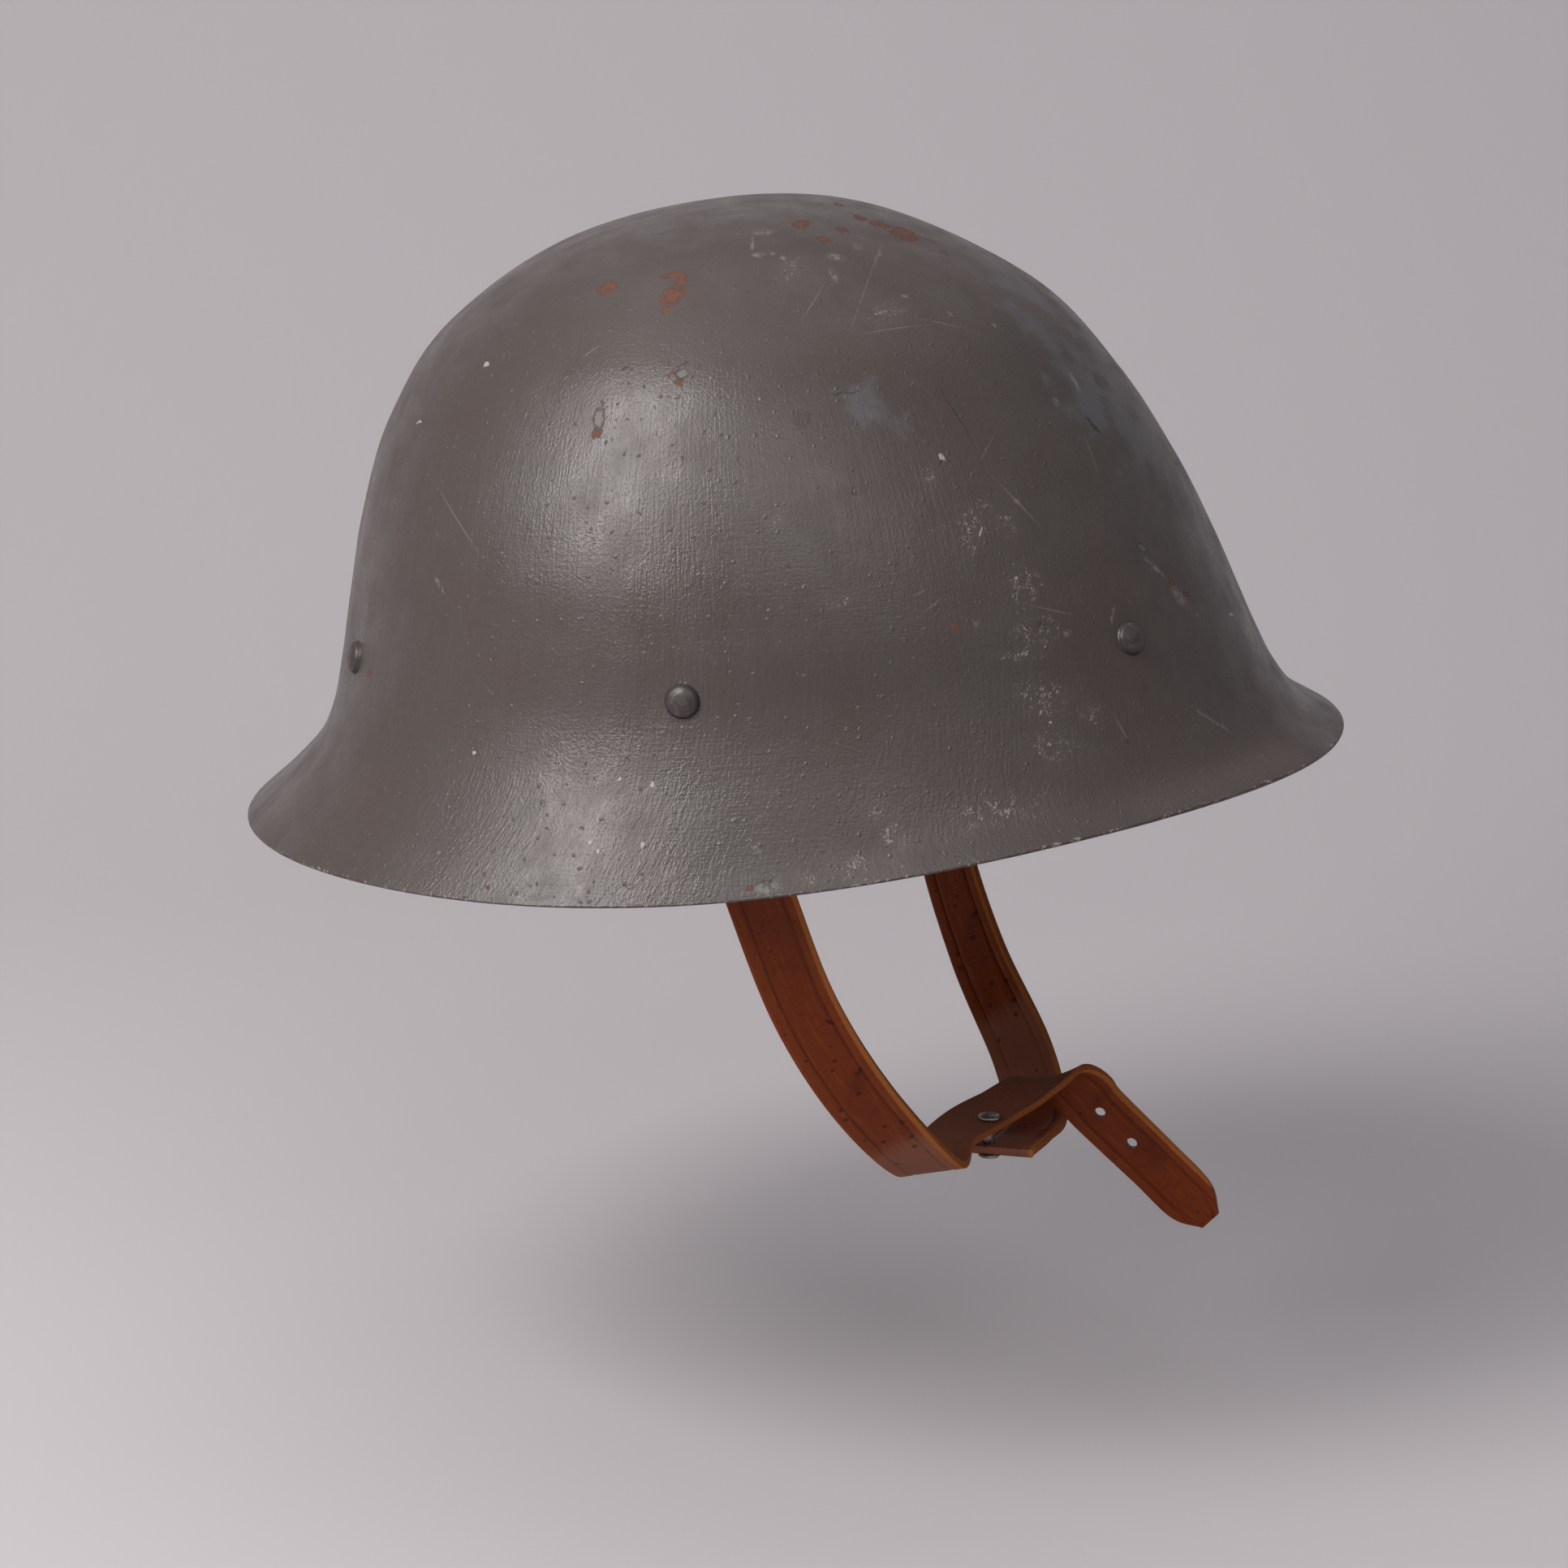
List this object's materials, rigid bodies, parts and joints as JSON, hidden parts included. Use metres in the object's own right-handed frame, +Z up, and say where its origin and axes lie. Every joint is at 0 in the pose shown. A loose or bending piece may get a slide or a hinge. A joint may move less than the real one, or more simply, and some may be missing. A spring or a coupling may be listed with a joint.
{
  "type": "steel combat helmet",
  "caption": "Flared steel combat helmet as worn: a hollow pressed bell with a sloping brim and low domed rivets, and a leather chin strap loop with a punched free end.",
  "frame": {"origin": "inside of the crown, where the helmet sits on a head", "axes": "+Z up as worn, -Y toward the helmet's front, +X toward the wearer's left; the rim leans back about 4 degrees"},
  "size_m": [0.269, 0.3105, 0.2996],
  "materials": {
    "shell": "worn semi-matt grey-brown paint with rust",
    "rivets": "worn semi-gloss grey-brown paint",
    "straps": "aged red-brown leather, creased along its edges",
    "stud": "dull"
  },
  "bodies": {
    "root": {"shell": "shell", "rivet_front_right": "rivets", "rivet_front_left": "rivets", "rivet_side_right": "rivets", "rivet_side_left": "rivets", "rivet_rear_right": "rivets", "rivet_rear_left": "rivets", "strap_right": "straps", "strap_left": "straps", "strap_stud": "stud"}
  },
  "joints": []
}
